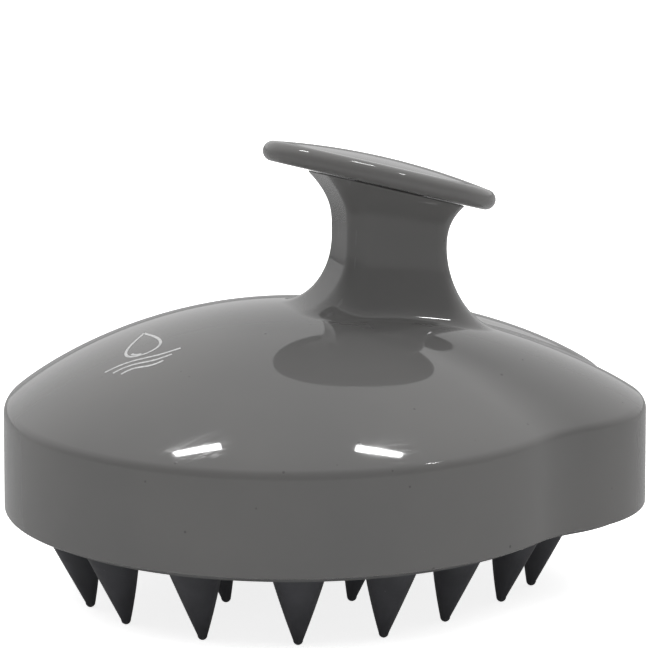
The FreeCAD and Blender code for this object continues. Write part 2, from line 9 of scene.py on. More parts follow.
import bmesh
import bpy
import numpy as np
from mathutils import Matrix, Vector
from mathutils.geometry import delaunay_2d_cdt


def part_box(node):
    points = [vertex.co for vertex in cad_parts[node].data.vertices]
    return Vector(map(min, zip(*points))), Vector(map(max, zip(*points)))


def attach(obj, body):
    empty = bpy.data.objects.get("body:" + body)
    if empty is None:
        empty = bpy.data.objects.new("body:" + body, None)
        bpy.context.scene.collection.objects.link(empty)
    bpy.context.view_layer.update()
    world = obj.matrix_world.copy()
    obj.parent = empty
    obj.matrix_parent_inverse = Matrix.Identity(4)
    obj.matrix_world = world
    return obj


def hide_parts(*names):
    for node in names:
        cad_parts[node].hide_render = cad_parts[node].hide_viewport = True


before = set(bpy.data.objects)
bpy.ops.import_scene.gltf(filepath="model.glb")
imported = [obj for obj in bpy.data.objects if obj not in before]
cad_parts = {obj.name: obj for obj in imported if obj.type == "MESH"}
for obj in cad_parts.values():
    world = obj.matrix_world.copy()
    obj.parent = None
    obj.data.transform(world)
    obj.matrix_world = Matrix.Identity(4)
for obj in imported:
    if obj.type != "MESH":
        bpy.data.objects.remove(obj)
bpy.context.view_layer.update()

MM = 0.001
COLUMNS = 384
SHELL_LOW = np.array(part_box("body_shell")[0]) / MM

# plan outline
LOBE_RADIUS = -SHELL_LOW[0]
CORNER_RADIUS = 20.2
CORNER_X = 30.0
CORNER_Y = 8.4
WAIST_RADIUS = 21.0
NOTCH_RADIUS = 12.0
OUTLINE_SOFTENING = 0.9
OUTLINE_STEP = 0.05
OUTLINE_DETAIL = 4

# shell
RIM_Z = SHELL_LOW[2]
SKIRT_HEIGHT = 15.0
SHOULDER_Z = RIM_Z + SKIRT_HEIGHT
DOME_RISE = 14.4
DOME_POWER = 0.9
SHOULDER_ROUND = 2.0
SHOULDER_BLUR = 4.0
SHOULDER_ROWS = 11
SKIRT_ROWS = 10
DOME_ROWS = 58
CAVITY_ROWS = 20
RIM_ROUND = 0.45
WALL = 2.2
LEDGE = 1.0
SEAT_DEPTH = 3.9

# neck
NECK_X = 15.0
NECK_LENGTH = 15.3
NECK_WIDTH = 10.6
NECK_CORNER = 2.4
FLARE_TOP_Z = RIM_Z + 38.0
FLARE_TOP_SLOPE = 0.084
FLARE_REACH = 7.6
FLARE_SIDE_REACH = 3.4
FLARE_WEIGHT = math.sqrt(0.5)
FLARE_ROWS = 26
COLLAR_DEPTH = 6.8
COLLAR_SPREAD = 2.9
COLLAR_SKEW = 0.06
COLLAR_POWER = 2.5
COLLAR_EDGE = 0.22
COLLAR_ROWS = 16
NECK_ROWS = 8
PARTING_GAP = 0.06

# palm plate and its plug
PLATE_CENTRE = np.array((13.5, 0.0, 60.2))
PLATE_LENGTH = 35.6
PLATE_WIDTH = 25.0
PLATE_THICKNESS = 3.0
PLATE_CROWN = 1.25
PLATE_TILT = math.radians(18.0)
PLATE_TURN = math.radians(24.0)
PLATE_COLUMNS = 288
PLATE_RIM_ROWS = 33
PLATE_CROWN_ROWS = 22
PLUG_LENGTH = 9.0
PLUG_WIDTH = 6.4
PLUG_DEPTH = 3.4
PLUG_CORNER = 1.0
FIT_GAP = 0.2
WEB = 3.0
PILOT_DEPTH = 4.5
SCREW_RADIUS = 1.5
SCREW_HEAD_RADIUS = 2.8
HOLLOW_TOP_Z = RIM_Z + 36.0


# ---------------------------------------------------------------- curves in plan


def arc_points(centre, radius, start, end, step):
    count = max(3, int(abs(end - start) * radius / step))
    angles = np.linspace(start, end, count, endpoint=False)
    return np.stack((centre[0] + radius * np.cos(angles), centre[1] + radius * np.sin(angles)), axis=1)


def resample_loop(points, count):
    """The closed curve through the points as evenly spaced points, starting at the first."""
    closed = np.vstack((points, points[:1]))
    run = np.concatenate(((0.0,), np.cumsum(np.linalg.norm(np.diff(closed, axis=0), axis=1))))
    wanted = np.linspace(0.0, run[-1], count, endpoint=False)
    return np.stack([np.interp(wanted, run, closed[:, axis]) for axis in range(2)], axis=1)


def soften_loop(points, spread):
    """Blur a closed curve of evenly spaced points, with a bell curve of that width in points."""
    reach = int(4 * spread)
    offsets = np.arange(-reach, reach + 1)
    weights = np.exp(-0.5 * (offsets / spread) ** 2)
    weights /= weights.sum()
    return sum(weight * np.roll(points, offset, axis=0) for weight, offset in zip(weights, offsets))


def loop_normals(points):
    """Outward unit normals of an anticlockwise closed curve."""
    along = np.roll(points, -1, axis=0) - np.roll(points, 1, axis=0)
    along /= np.linalg.norm(along, axis=1)[:, None]
    return np.stack((along[:, 1], -along[:, 0]), axis=1)


def plan_outline():
    """The shell's outline from the notch at +X anticlockwise: notch, corner, waist, lobe and back."""
    centres = math.hypot(CORNER_X, CORNER_Y)
    reach = LOBE_RADIUS + WAIST_RADIUS
    side = CORNER_RADIUS + WAIST_RADIUS
    opening = math.acos((reach**2 + centres**2 - side**2) / (2 * reach * centres))
    join = math.atan2(CORNER_Y, CORNER_X) + opening
    waist = (reach * math.cos(join), reach * math.sin(join))
    turn = math.atan2(waist[1] - CORNER_Y, waist[0] - CORNER_X)
    dip = math.asin(CORNER_Y / (CORNER_RADIUS + NOTCH_RADIUS))
    notch = (CORNER_X + (CORNER_RADIUS + NOTCH_RADIUS) * math.cos(dip), 0.0)
    step = OUTLINE_STEP
    upper = np.vstack((
        arc_points(notch, NOTCH_RADIUS, math.pi, math.pi - dip, step),
        arc_points((CORNER_X, CORNER_Y), CORNER_RADIUS, -dip, turn, step),
        arc_points(waist, WAIST_RADIUS, math.pi + turn, math.pi + join, step),
        arc_points((0.0, 0.0), LOBE_RADIUS, join, math.pi, step),
    ))
    lower = upper[:0:-1] * (1.0, -1.0)
    whole = np.vstack((upper, ((-LOBE_RADIUS, 0.0),), lower))
    fine = resample_loop(whole, OUTLINE_DETAIL * COLUMNS)
    spacing = np.linalg.norm(fine[1] - fine[0])
    return soften_loop(fine, OUTLINE_SOFTENING / spacing)[::OUTLINE_DETAIL]


OUTLINE = plan_outline()
OUTLINE_NORMALS = loop_normals(OUTLINE)


def outline_at(inset):
    return OUTLINE - inset * OUTLINE_NORMALS


def polar_radius(loop):
    """A function that gives a star-shaped loop's radius from the origin, by direction."""
    angles = np.arctan2(loop[:, 1], loop[:, 0])
    order = np.argsort(angles)
    angles = angles[order]
    radii = np.hypot(loop[:, 0], loop[:, 1])[order]
    turn = 2 * math.pi
    angles = np.concatenate((angles - turn, angles, angles + turn))
    radii = np.concatenate((radii, radii, radii))
    return lambda x, y: np.interp(np.arctan2(y, x), angles, radii)


OUTER_RADIUS = polar_radius(OUTLINE)
INNER_RADIUS = polar_radius(outline_at(WALL + LEDGE))


def dome_height(x, y, radius=OUTER_RADIUS, drop=0.0):
    """Height of the dome over a point in plan: scaled copies of the outline that rise as they shrink."""
    share = np.clip(np.hypot(x, y) / radius(x, y), 0.0, 1.0)
    return SHOULDER_Z + DOME_RISE * (1.0 - share**2) ** DOME_POWER - drop


def rounded_rectangle(length, width, corner, count):
    """Points and outward normals of a rounded rectangle, from +X anticlockwise.

    The points lie evenly along the rectangle grown by half its width, so corners get their share.
    """
    spread = width / 2
    half_x, half_y = length / 2 - corner, width / 2 - corner
    grown = corner + spread
    quarter = math.pi / 2
    step = 0.02
    pieces = []
    for turn, (sign_x, sign_y) in enumerate(((1, 1), (-1, 1), (-1, -1), (1, -1))):
        centre = (sign_x * half_x, sign_y * half_y)
        pieces.append(arc_points(centre, grown, turn * quarter, (turn + 1) * quarter, step))
    start = np.array(((half_x + grown, 0.0),))
    grown_loop = resample_loop(np.vstack([start] + pieces), count)
    core = np.clip(grown_loop, (-half_x, -half_y), (half_x, half_y))
    normals = (grown_loop - core) / np.linalg.norm(grown_loop - core, axis=1)[:, None]
    return core + corner * normals, normals


def circle(radius, count):
    """A circle's points, from +X anticlockwise."""
    angles = np.linspace(0.0, 2 * math.pi, count, endpoint=False)
    return radius * np.stack((np.cos(angles), np.sin(angles)), axis=1)


def ellipse(length, width, count):
    fine = circle(1.0, 16 * count) * (length / 2, width / 2)
    return resample_loop(fine, count)


# ---------------------------------------------------------------- the palm plate's frame


def leaning_axes():
    """The palm plate's own axes, as rows: its long axis, its short axis and its normal."""
    pivot = np.array((-math.sin(PLATE_TURN), math.cos(PLATE_TURN), 0.0))
    cosine, sine = math.cos(PLATE_TILT), math.sin(PLATE_TILT)
    rows = []
    for axis in np.eye(3):
        along = pivot * (pivot @ axis) * (1 - cosine)
        rows.append(axis * cosine + np.cross(pivot, axis) * sine + along)
    return np.array(rows)


PLATE_AXES = leaning_axes()
PLATE_NORMAL = PLATE_AXES[2]
PLATE_FOOT = PLATE_CENTRE - PLATE_NORMAL * PLATE_THICKNESS / 2


def underside_height(x, y):
    """Height of the palm plate's underside over a point in plan."""
    along = (x - PLATE_FOOT[0]) * PLATE_NORMAL[0] + (y - PLATE_FOOT[1]) * PLATE_NORMAL[1]
    return PLATE_FOOT[2] - along / PLATE_NORMAL[2]


PLUG_FOOT = np.array((NECK_X, 0.0, underside_height(NECK_X, 0.0)))


def lean(plan, depth, origin):
    """Put a loop drawn in the palm plate's plane into space, at a depth below a point."""
    loop = plan[:, :1] * PLATE_AXES[0] + plan[:, 1:2] * PLATE_AXES[1]
    return origin + loop - depth * PLATE_NORMAL


# ---------------------------------------------------------------- meshes


def level(plan, height):
    """Lift a loop in plan to a height, or to one height a point."""
    heights = np.broadcast_to(height, (len(plan),))
    return np.column_stack((plan, heights))


def between(first, last, shares):
    """Loops on the straight lines between two loops, at shares of the way."""
    return [first + (last - first) * share for share in shares]


def grid_faces(loops, columns, closed=False):
    """Quads between neighbouring loops; when closed, the last loop joins the first."""
    faces = []
    for row in range(loops if closed else loops - 1):
        here = row * columns
        above = (row + 1) % loops * columns
        for column in range(columns):
            beside = (column + 1) % columns
            faces.append((here + column, here + beside, above + beside, above + column))
    return faces


def fan_faces(first, columns, centre):
    return [(first + column, first + (column + 1) % columns, centre) for column in range(columns)]


def make_piece(name, vertices, faces, material, sharp=math.radians(38)):
    """A shaded mesh object from millimetre vertices, with outward normals and creases kept sharp."""
    mesh = bpy.data.meshes.new(name)
    mesh.from_pydata((np.asarray(vertices) * MM).tolist(), [], faces)
    bm = bmesh.new()
    bm.from_mesh(mesh)
    bmesh.ops.recalc_face_normals(bm, faces=bm.faces)
    bm.to_mesh(mesh)
    bm.free()
    mesh.shade_smooth()
    mesh.set_sharp_from_angle(angle=sharp)
    mesh.materials.append(material)
    piece = bpy.data.objects.new(name, mesh)
    bpy.context.scene.collection.objects.link(piece)
    return piece


def quarter_turn(count):
    """Shares of a rounded edge: cosines and sines of a quarter turn, ends included."""
    angles = np.linspace(0.0, math.pi / 2, count)
    return zip(np.cos(angles), np.sin(angles))


# ---------------------------------------------------------------- shell


def shoulder_loops():
    """Wall top to dome: a ball of the shoulder's radius rolled inside the edge."""
    inset = np.linspace(0.01, 1.99 * SHOULDER_ROUND, 300)
    plan = OUTLINE[:, None, :] - inset[None, :, None] * OUTLINE_NORMALS[:, None, :]
    dome = dome_height(plan[..., 0], plan[..., 1])
    ball = np.sqrt(SHOULDER_ROUND**2 - (inset - SHOULDER_ROUND) ** 2)
    lift = dome - ball
    centre_z = lift.min(axis=1)
    touch = inset[lift.argmin(axis=1)]
    touch = soften_loop(np.stack((touch, touch), axis=1), SHOULDER_BLUR)[:, 0]
    loops = []
    for share in np.linspace(0.0, 1.0, SHOULDER_ROWS):
        full_turn = np.arccos((SHOULDER_ROUND - touch) / SHOULDER_ROUND)
        turn = full_turn * share
        here = SHOULDER_ROUND * (1.0 - np.cos(turn))
        plan = OUTLINE - here[:, None] * OUTLINE_NORMALS
        loops.append(level(plan, centre_z + SHOULDER_ROUND * np.sin(turn)))
    return loops


def flare_loops(points, normals):
    """The neck's root, from the dome up: conics that leave the dome smoothly, tight on the long sides."""
    reach = FLARE_REACH * normals[:, 0] ** 2 + FLARE_SIDE_REACH * normals[:, 1] ** 2
    foot = points + reach[:, None] * normals
    foot_z = dome_height(foot[:, 0], foot[:, 1])
    nudge = 0.05
    beyond = foot + nudge * normals
    slope = (dome_height(beyond[:, 0], beyond[:, 1]) - foot_z) / nudge
    corner_z = foot_z - slope * reach
    top_z = FLARE_TOP_Z - FLARE_TOP_SLOPE * (points[:, 0] - NECK_X)
    loops = []
    for share in np.linspace(0.0, 1.0, FLARE_ROWS):
        low, middle, high = (1 - share) ** 2, 2 * FLARE_WEIGHT * share * (1 - share), share**2
        total = low + middle + high
        grown = reach * low / total
        height = (low * foot_z + middle * corner_z + high * top_z) / total
        loops.append(level(points + grown[:, None] * normals, height))
    return loops


def collar_loops(points, normals):
    """The neck's top, spreading to the palm plate's underside, with a small edge at the parting line."""
    spread = COLLAR_SPREAD - COLLAR_SKEW * (points[:, 0] - NECK_X)
    loops = []
    for part in np.linspace(0.0, 1.0, COLLAR_ROWS):
        grown = spread * part**COLLAR_POWER
        plan = points + grown[:, None] * normals
        depth = COLLAR_DEPTH * (1.0 - part) + COLLAR_EDGE + PARTING_GAP
        loops.append(level(plan, underside_height(plan[:, 0], plan[:, 1]) - depth))
    for cosine, sine in list(quarter_turn(5))[1:]:
        plan = points + (spread - COLLAR_EDGE * (1.0 - cosine))[:, None] * normals
        depth = PARTING_GAP + COLLAR_EDGE * (1.0 - sine)
        loops.append(level(plan, underside_height(plan[:, 0], plan[:, 1]) - depth))
    return loops


def shell_outside_loops():
    """From the rim up over the skirt, dome, neck root and neck to the collar's lip."""
    loops = []
    for cosine, sine in quarter_turn(5):
        loops.append(level(outline_at(RIM_ROUND * (1 - sine)), RIM_Z + RIM_ROUND * (1 - cosine)))
    shoulder = shoulder_loops()
    loops += between(loops[-1], shoulder[0], np.linspace(0.0, 1.0, SKIRT_ROWS)[1:-1])
    loops += shoulder
    points, normals = rounded_rectangle(NECK_LENGTH, NECK_WIDTH, NECK_CORNER, COLUMNS)
    points = points + (NECK_X, 0.0)
    flare = flare_loops(points, normals)
    for share in (1 - np.cos(np.linspace(0.0, math.pi, DOME_ROWS)[1:-1])) / 2:
        plan = shoulder[-1][:, :2] + (flare[0][:, :2] - shoulder[-1][:, :2]) * share
        loops.append(level(plan, dome_height(plan[:, 0], plan[:, 1])))
    loops += flare
    collar = collar_loops(points, normals)
    loops += between(flare[-1], collar[0], np.linspace(0.0, 1.0, NECK_ROWS)[1:-1])
    return loops + collar


def shell_bore_loops():
    """Down through the neck: plug socket, screw hole, head way and the hollow below them."""
    gap = 2 * FIT_GAP
    socket, _ = rounded_rectangle(PLUG_LENGTH + gap, PLUG_WIDTH + gap, PLUG_CORNER + FIT_GAP, COLUMNS)
    shank = circle(SCREW_RADIUS + FIT_GAP, COLUMNS)
    head = circle(SCREW_HEAD_RADIUS + FIT_GAP, COLUMNS)
    floor = PLUG_DEPTH + FIT_GAP
    loops = [
        lean(socket, PARTING_GAP, PLUG_FOOT),
        lean(socket, floor, PLUG_FOOT),
        lean(shank, floor, PLUG_FOOT),
        lean(shank, floor + WEB, PLUG_FOOT),
        lean(head, floor + WEB, PLUG_FOOT),
    ]
    way_foot = lean(head, floor + WEB, PLUG_FOOT)
    drop = (way_foot[:, 2] - HOLLOW_TOP_Z) / PLATE_NORMAL[2]
    loops.append(way_foot - drop[:, None] * PLATE_NORMAL)
    hollow, _ = rounded_rectangle(
        NECK_LENGTH - 2 * WALL, NECK_WIDTH - 2 * WALL, NECK_CORNER - WALL, COLUMNS
    )
    hollow = hollow + (NECK_X, 0.0)
    loops.append(level(hollow, HOLLOW_TOP_Z))
    loops.append(level(hollow, dome_height(hollow[:, 0], hollow[:, 1], INNER_RADIUS, WALL)))
    return loops


def shell_inside_loops(hollow):
    """From the neck's hollow out under the dome, then down to the rim past the ledge."""
    cavity = outline_at(WALL + LEDGE)
    loops = []
    for share in np.sin(np.linspace(0.0, math.pi / 2, CAVITY_ROWS))[1:]:
        plan = hollow + (cavity - hollow) * share
        loops.append(level(plan, dome_height(plan[:, 0], plan[:, 1], INNER_RADIUS, WALL)))
    seat = outline_at(WALL)
    loops.append(level(cavity, RIM_Z + SEAT_DEPTH))
    loops.append(level(seat, RIM_Z + SEAT_DEPTH))
    for cosine, sine in quarter_turn(4):
        edge = RIM_ROUND / 2
        loops.append(level(outline_at(WALL - edge * (1 - cosine)), RIM_Z + edge * (1 - sine)))
    return loops


def make_shell(material):
    """The glossy one-piece shell, as one closed sheet of loops from the rim round to the rim."""
    loops = shell_outside_loops()
    bore = shell_bore_loops()
    loops += bore
    loops += shell_inside_loops(bore[-1][:, :2])
    piece = make_piece("shell", np.vstack(loops), grid_faces(len(loops), COLUMNS, closed=True), material)
    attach(piece, "shell")
    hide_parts("body_shell")


# ---------------------------------------------------------------- palm plate


def make_palm_plate(material):
    """The oval palm plate: a fully rounded rim, a low crown and the plug under it."""
    columns = PLATE_COLUMNS
    half = PLATE_THICKNESS / 2
    oval = ellipse(PLATE_LENGTH, PLATE_WIDTH, columns)
    oval_normals = loop_normals(oval)
    plug, _ = rounded_rectangle(PLUG_LENGTH, PLUG_WIDTH, PLUG_CORNER, columns)
    pilot = circle(SCREW_RADIUS, columns)
    shift = (PLUG_FOOT - PLATE_FOOT) @ PLATE_AXES.T
    plug = plug + shift[:2]
    pilot = pilot + shift[:2]
    loops = [
        lean(pilot, PLUG_DEPTH - PILOT_DEPTH, PLATE_FOOT),
        lean(pilot, PLUG_DEPTH, PLATE_FOOT),
        lean(plug, PLUG_DEPTH, PLATE_FOOT),
        lean(plug, 0.0, PLATE_FOOT),
    ]
    for angle in np.linspace(-math.pi / 2, math.pi / 2, PLATE_RIM_ROWS):
        plan = oval - half * (1 - math.cos(angle)) * oval_normals
        loops.append(lean(plan, -half * (1 + math.sin(angle)), PLATE_FOOT))
    rim_plan = oval - half * oval_normals
    for share in np.linspace(0.0, 1.0, PLATE_CROWN_ROWS)[1:-1]:
        crown = PLATE_CROWN * (1 - (1 - share) ** 2)
        loops.append(lean(rim_plan * (1 - share), -PLATE_THICKNESS - crown, PLATE_FOOT))
    vertices = np.vstack(loops + [
        PLATE_FOOT + PLATE_NORMAL * (PLATE_THICKNESS + PLATE_CROWN),
        loops[0].mean(axis=0),
    ])
    faces = grid_faces(len(loops), columns)
    last = (len(loops) - 1) * columns
    faces += fan_faces(last, columns, last + columns)
    faces += fan_faces(0, columns, last + columns + 1)
    piece = make_piece("palm_plate", vertices, faces, material)
    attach(piece, "shell")
    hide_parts("handle_plate")


# ---------------------------------------------------------------- bristle pad

OUTER_BRISTLES = 16
INNER_BRISTLES = 8
INNER_ROW_SCALE = 0.45
ROW_DIRECTIONS = (0, 20, 46, 72, 95, 113, 134, 152, 180)
INNER_BRISTLE_SCALE = 0.92
ROW_BACK = 33.5
ROW_FRONT = 40.5
ROW_HALF_WIDTH = 33.4
ROW_TAPER = 10.0
BRISTLE_RADIUS = 4.3
BRISTLE_TIP = 0.72
BRISTLE_LEAN = 2.8
BRISTLE_HOOK = 2.2
BRISTLE_COLUMNS = 40
BRISTLE_ROWS = 15
ROOT_ROUND = 0.15
FACE_INSET = 3.3
FLANGE_INSET = 2.6
FLANGE_RISE = 0.6
PAD_THICKNESS = 1.8
BOSS_RADIUS = 2.2
BOSS_INSET = 5.2
BOSS_EASE = 0.1
CLAMP_GAPS = (1, 3, 5, 7, 8, 10, 12, 14)
NOTCH_POINTS = 22


def row_angle(step):
    """Direction of a place on the outer row, between the listed ones; the two sides are mirrored."""
    turn = step % OUTER_BRISTLES
    side = min(turn, OUTER_BRISTLES - turn)
    degrees = np.interp(side, range(len(ROW_DIRECTIONS)), ROW_DIRECTIONS)
    return math.pi + math.radians(degrees if side == turn else -degrees)


def row_point(step, scale=1.0):
    """A point on a bristle row, counted in outer-row steps from the middle of the round lobe's edge."""
    angle = row_angle(step)
    front = max(math.cos(angle), 0.0)
    reach = ROW_FRONT if front > 0 else ROW_BACK
    half_width = ROW_HALF_WIDTH - ROW_TAPER * front
    return np.array((scale * reach * math.cos(angle), scale * half_width * math.sin(angle)))


def bristle_roots():
    """Root centre and scale of every bristle: the outer row, the inner row and one in the middle."""
    roots = [(row_point(step), 1.0) for step in range(OUTER_BRISTLES)]
    ratio = OUTER_BRISTLES / INNER_BRISTLES
    for step in range(INNER_BRISTLES):
        roots.append((row_point((step + 0.5) * ratio, INNER_ROW_SCALE), INNER_BRISTLE_SCALE))
    roots.append((np.zeros(2), INNER_BRISTLE_SCALE))
    return roots


def bristle_loops(root, scale):
    """One hooked bristle, from its filleted root down to its rounded tip."""
    reach = np.hypot(*root)
    inward = -root / reach if reach > 1.0 else np.zeros(2)
    unit = circle(1.0, BRISTLE_COLUMNS)
    radius = BRISTLE_RADIUS * scale
    lean_by = BRISTLE_LEAN if reach > 1.0 else 0.0
    loops = []
    for cosine, sine in quarter_turn(5):
        ring = unit * (radius + ROOT_ROUND * (1 - sine))
        loops.append(level(root + ring, RIM_Z - ROOT_ROUND * (1 - cosine)))
    top = RIM_Z - ROOT_ROUND
    for share in np.linspace(0.0, 1.0, BRISTLE_ROWS)[1:]:
        outer = -radius + (radius + lean_by - BRISTLE_TIP) * share
        inner = radius + (lean_by + BRISTLE_TIP - radius) * share**BRISTLE_HOOK
        centre = root + inward * (outer + inner) / 2
        if reach <= 1.0:
            centre = root
        height = top + (BRISTLE_TIP - top) * share
        loops.append(level(centre + unit * (inner - outer) / 2, height))
    tip = root + inward * lean_by
    for cosine, sine in list(quarter_turn(6))[1:-1]:
        loops.append(level(tip + unit * BRISTLE_TIP * cosine, BRISTLE_TIP * (1 - sine)))
    return loops, np.append(tip, 0.0)


def boss_points():
    """Centres of the clamp bosses, in the gaps between outer bristles."""
    radius = polar_radius(outline_at(BOSS_INSET))
    points = []
    for gap in CLAMP_GAPS:
        direction = row_point(gap + 0.5)
        direction = direction / np.hypot(*direction)
        points.append(direction * radius(*direction))
    return points


def notched(loop, centres, radius):
    """An anticlockwise loop with circles cut out of its edge: each leaves an arc in its place."""
    points = [tuple(point) for point in loop]
    for centre in centres:
        kept = [math.dist(point, centre) >= radius for point in points]
        last = next(i for i, keep in enumerate(kept) if keep and not kept[(i + 1) % len(kept)])
        points = points[last + 1:] + points[:last + 1]
        kept = kept[last + 1:] + kept[:last + 1]
        points = points[kept.index(True):]
        inward = math.atan2(-centre[1], -centre[0])
        start, end = (
            (math.atan2(y - centre[1], x - centre[0]) - inward + math.pi) % (2 * math.pi) - math.pi
            for x, y in (points[-1], points[0])
        )
        for angle in inward + np.linspace(start, end, NOTCH_POINTS)[1:-1]:
            points.append((centre[0] + radius * math.cos(angle), centre[1] + radius * math.sin(angle)))
    return np.array(points)


class Sheet:
    """Vertices and faces of a mesh in the making."""

    def __init__(self):
        self.vertices = []
        self.faces = []

    def add(self, loop):
        """Add a loop of vertices and return their numbers."""
        first = len(self.vertices)
        self.vertices.extend(tuple(point) for point in loop)
        return list(range(first, len(self.vertices)))

    def bridge(self, one, other):
        """Quads between two loops of equal length."""
        for index in range(len(one)):
            after = (index + 1) % len(one)
            self.faces.append((one[index], one[after], other[after], other[index]))

    def fan(self, loop, centre):
        for index in range(len(loop)):
            self.faces.append((loop[index], loop[(index + 1) % len(loop)], centre))

    def fill(self, outer, holes):
        """Triangles that fill a flat loop, apart from the loops inside it."""
        numbers = list(outer)
        edges = [(i, (i + 1) % len(outer)) for i in range(len(outer))]
        for hole in holes:
            base = len(numbers)
            numbers += hole
            edges += [(base + i, base + (i + 1) % len(hole)) for i in range(len(hole))]
        plan = [Vector(self.vertices[number][:2]) for number in numbers]
        _, _, triangles, origins, _, _ = delaunay_2d_cdt(plan, edges, [], 1, 1e-7)
        rings = [np.array([self.vertices[number][:2] for number in hole]) for hole in holes]
        for triangle in triangles:
            corners = [numbers[origins[corner][0]] for corner in triangle]
            middle = np.mean([self.vertices[corner][:2] for corner in corners], axis=0)
            if not any(inside(middle, ring) for ring in rings):
                self.faces.append(tuple(corners))


def inside(point, ring):
    """Whether a point lies inside a closed ring, by counting crossings."""
    x, y = point
    after = np.roll(ring, -1, axis=0)
    rises = (ring[:, 1] > y) != (after[:, 1] > y)
    span = np.where(rises, after[:, 1] - ring[:, 1], 1.0)
    cross = ring[:, 0] + (y - ring[:, 1]) * (after[:, 0] - ring[:, 0]) / span
    return bool(np.count_nonzero(rises & (x < cross)) % 2)


def make_bristle_pad(material):
    """The silicone pad: a face full of bristles, notched round the ring's bosses, and its flange."""
    sheet = Sheet()
    roots = []
    for root, scale in bristle_roots():
        loops, tip = bristle_loops(root, scale)
        rows = [sheet.add(loop) for loop in loops]
        for one, other in zip(rows, rows[1:]):
            sheet.bridge(one, other)
        sheet.vertices.append(tuple(tip))
        sheet.fan(rows[-1], len(sheet.vertices) - 1)
        roots.append(rows[0])
    face_plan = notched(outline_at(FACE_INSET)[::2], boss_points(), BOSS_RADIUS + BOSS_EASE)
    face = sheet.add(level(face_plan, RIM_Z))
    sheet.fill(face, roots)
    under = sheet.add(level(face_plan, RIM_Z + FLANGE_RISE))
    sheet.bridge(face, under)
    flange_plan = outline_at(FLANGE_INSET)[::2]
    flange_low = sheet.add(level(flange_plan, RIM_Z + FLANGE_RISE))
    flange_high = sheet.add(level(flange_plan, RIM_Z + PAD_THICKNESS))
    sheet.bridge(flange_low, flange_high)
    sheet.fill(flange_low, [under])
    sheet.fill(flange_high, [])
    piece = make_piece("bristle_pad", sheet.vertices, sheet.faces, material, math.radians(50))
    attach(piece, "bristle_head")
    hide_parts("bristle_pad")


# ---------------------------------------------------------------- printed mark

MARK_CENTRE = np.array((-22.6, -0.3))
MARK_TURN = math.radians(-20.0)
MARK_RIGHT = np.array((math.cos(MARK_TURN), math.sin(MARK_TURN)))
MARK_UP = np.array((-math.sin(MARK_TURN), math.cos(MARK_TURN)))
DROP_WIDTH = 3.6
DROP_POINT = 1.6
DROP_CENTRE_Y = 1.6
DROP_HEIGHT = 4.6
SHINE_CENTRE_Y = -0.9
SHINE_RADIUS = 1.7
WAVE_HALF_LENGTHS = (5.4, 4.2, 3.0)
WAVE_Y = -4.4
WAVE_GAP = 1.3
WAVE_RISE = 0.38
INK_WIDTH = 0.4
INK_LIFT = 0.04
INK_SINK = 0.08


def on_dome(points):
    """Carry points drawn on the mark's own flat onto the dome's plan."""
    points = np.asarray(points)
    return MARK_CENTRE + points[:, :1] * MARK_RIGHT + points[:, 1:2] * MARK_UP


def add_stroke(sheet, drawn, closed):
    """A printed line: a thin ribbon that follows the dome, flush with it and closed all round."""
    plan = on_dome(drawn)
    if closed:
        along = np.roll(plan, -1, axis=0) - np.roll(plan, 1, axis=0)
    else:
        along = np.gradient(plan, axis=0)
    along /= np.linalg.norm(along, axis=1)[:, None]
    side = np.stack((-along[:, 1], along[:, 0]), axis=1) * INK_WIDTH / 2
    rails = []
    for sign, lift in ((1, INK_LIFT), (-1, INK_LIFT), (-1, -INK_SINK), (1, -INK_SINK)):
        edge = plan + sign * side
        rails.append(sheet.add(level(edge, dome_height(edge[:, 0], edge[:, 1]) + lift)))
    count = len(plan)
    for rail, beside in zip(rails, rails[1:] + rails[:1]):
        for index in range(count if closed else count - 1):
            after = (index + 1) % count
            sheet.faces.append((rail[index], rail[after], beside[after], beside[index]))
    if not closed:
        sheet.faces.append(tuple(rail[0] for rail in rails))
        sheet.faces.append(tuple(rail[-1] for rail in rails))


def wave(start, end, height, rise, count=24):
    """A shallow wave from one x to another, at a height."""
    along = np.linspace(0.0, 1.0, count)
    return np.stack((start + (end - start) * along, height + rise * np.sin(2 * math.pi * along)), axis=1)


def make_mark(material):
    """The mark printed on the dome: a plain water drop over three small waves."""
    sheet = Sheet()
    turn = np.linspace(0.0, 2 * math.pi, 96, endpoint=False)
    drop_x = DROP_WIDTH * np.sin(turn) * np.sin(turn / 2) ** DROP_POINT
    drop_y = DROP_CENTRE_Y + DROP_HEIGHT * np.cos(turn)
    add_stroke(sheet, np.stack((drop_x, drop_y), axis=1), closed=True)
    shine = np.linspace(math.radians(200), math.radians(262), 16)
    shine_y = SHINE_CENTRE_Y + SHINE_RADIUS * np.sin(shine)
    add_stroke(sheet, np.stack((SHINE_RADIUS * np.cos(shine), shine_y), axis=1), closed=False)
    for number, half in enumerate(WAVE_HALF_LENGTHS):
        add_stroke(sheet, wave(-half, half, WAVE_Y - WAVE_GAP * number, WAVE_RISE), closed=False)
    piece = make_piece("dome_mark", sheet.vertices, sheet.faces, material)
    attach(piece, "shell")


# ---------------------------------------------------------------- materials


